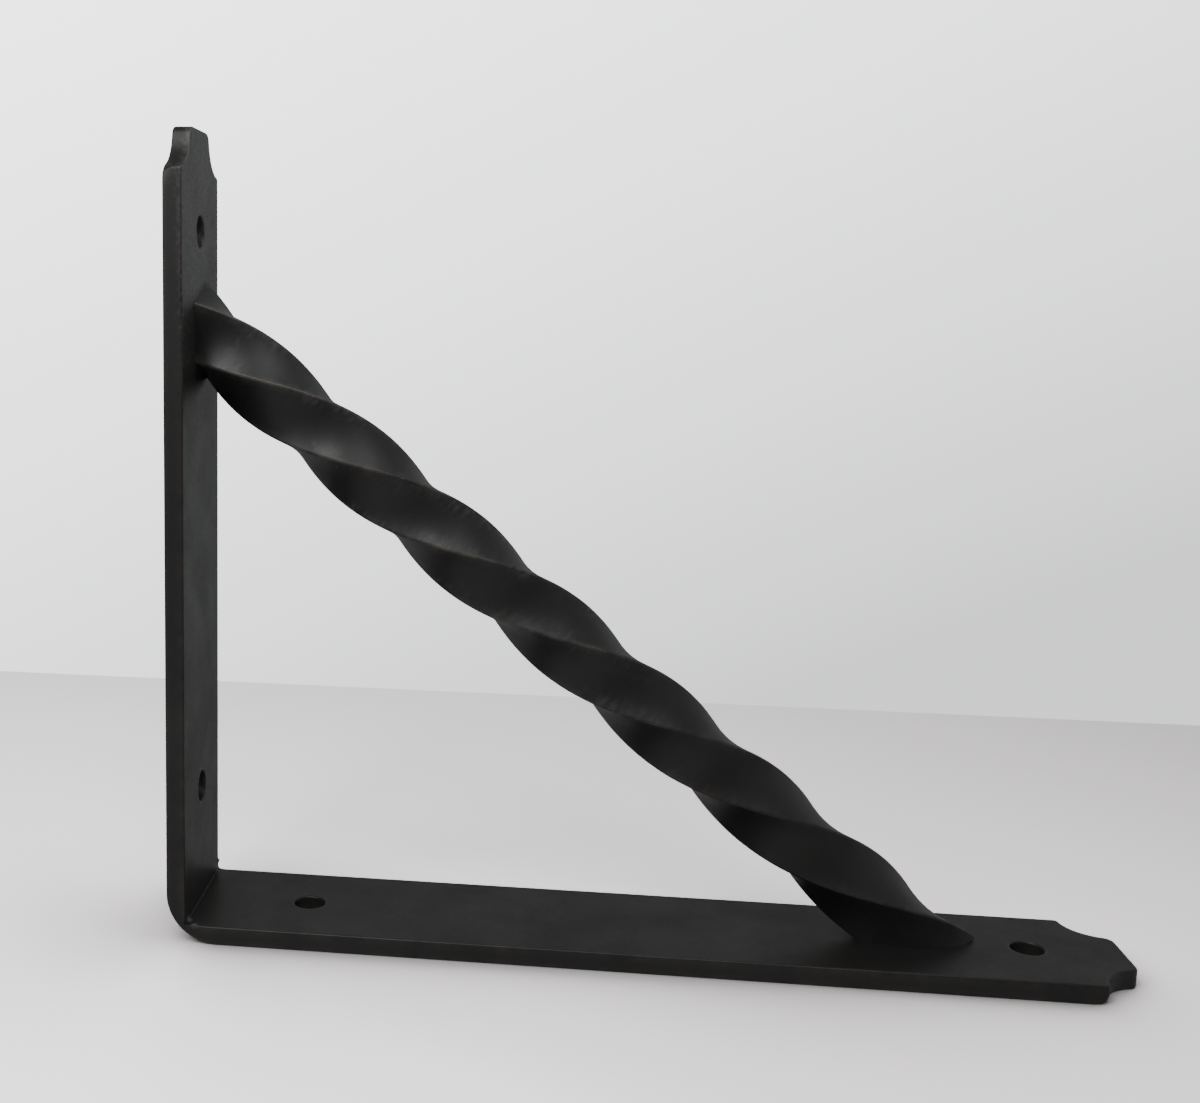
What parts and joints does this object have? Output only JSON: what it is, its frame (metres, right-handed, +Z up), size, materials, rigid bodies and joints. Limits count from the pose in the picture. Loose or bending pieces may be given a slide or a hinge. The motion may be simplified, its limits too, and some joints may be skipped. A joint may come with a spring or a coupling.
{
  "type": "shelf bracket",
  "caption": "Wrought-iron angle bracket of bent flat bar with scalloped ends and drilled screw holes, braced by a twisted square bar.",
  "frame": {"origin": "on the underside of the shelf leg, under the middle of the bracket", "axes": "+X along the shelf leg away from the wall leg, +Y across the bar, +Z up along the wall leg"},
  "size_m": [0.2426, 0.04, 0.2072],
  "materials": {
    "angle_strap": "black, waxed or thinly oiled, satin",
    "twisted_brace": "black, satin, rubbed to bare brown metal along the twist's arrises"
  },
  "bodies": {
    "root": {"angle_strap": "angle_strap", "twisted_brace": "twisted_brace"}
  },
  "joints": []
}
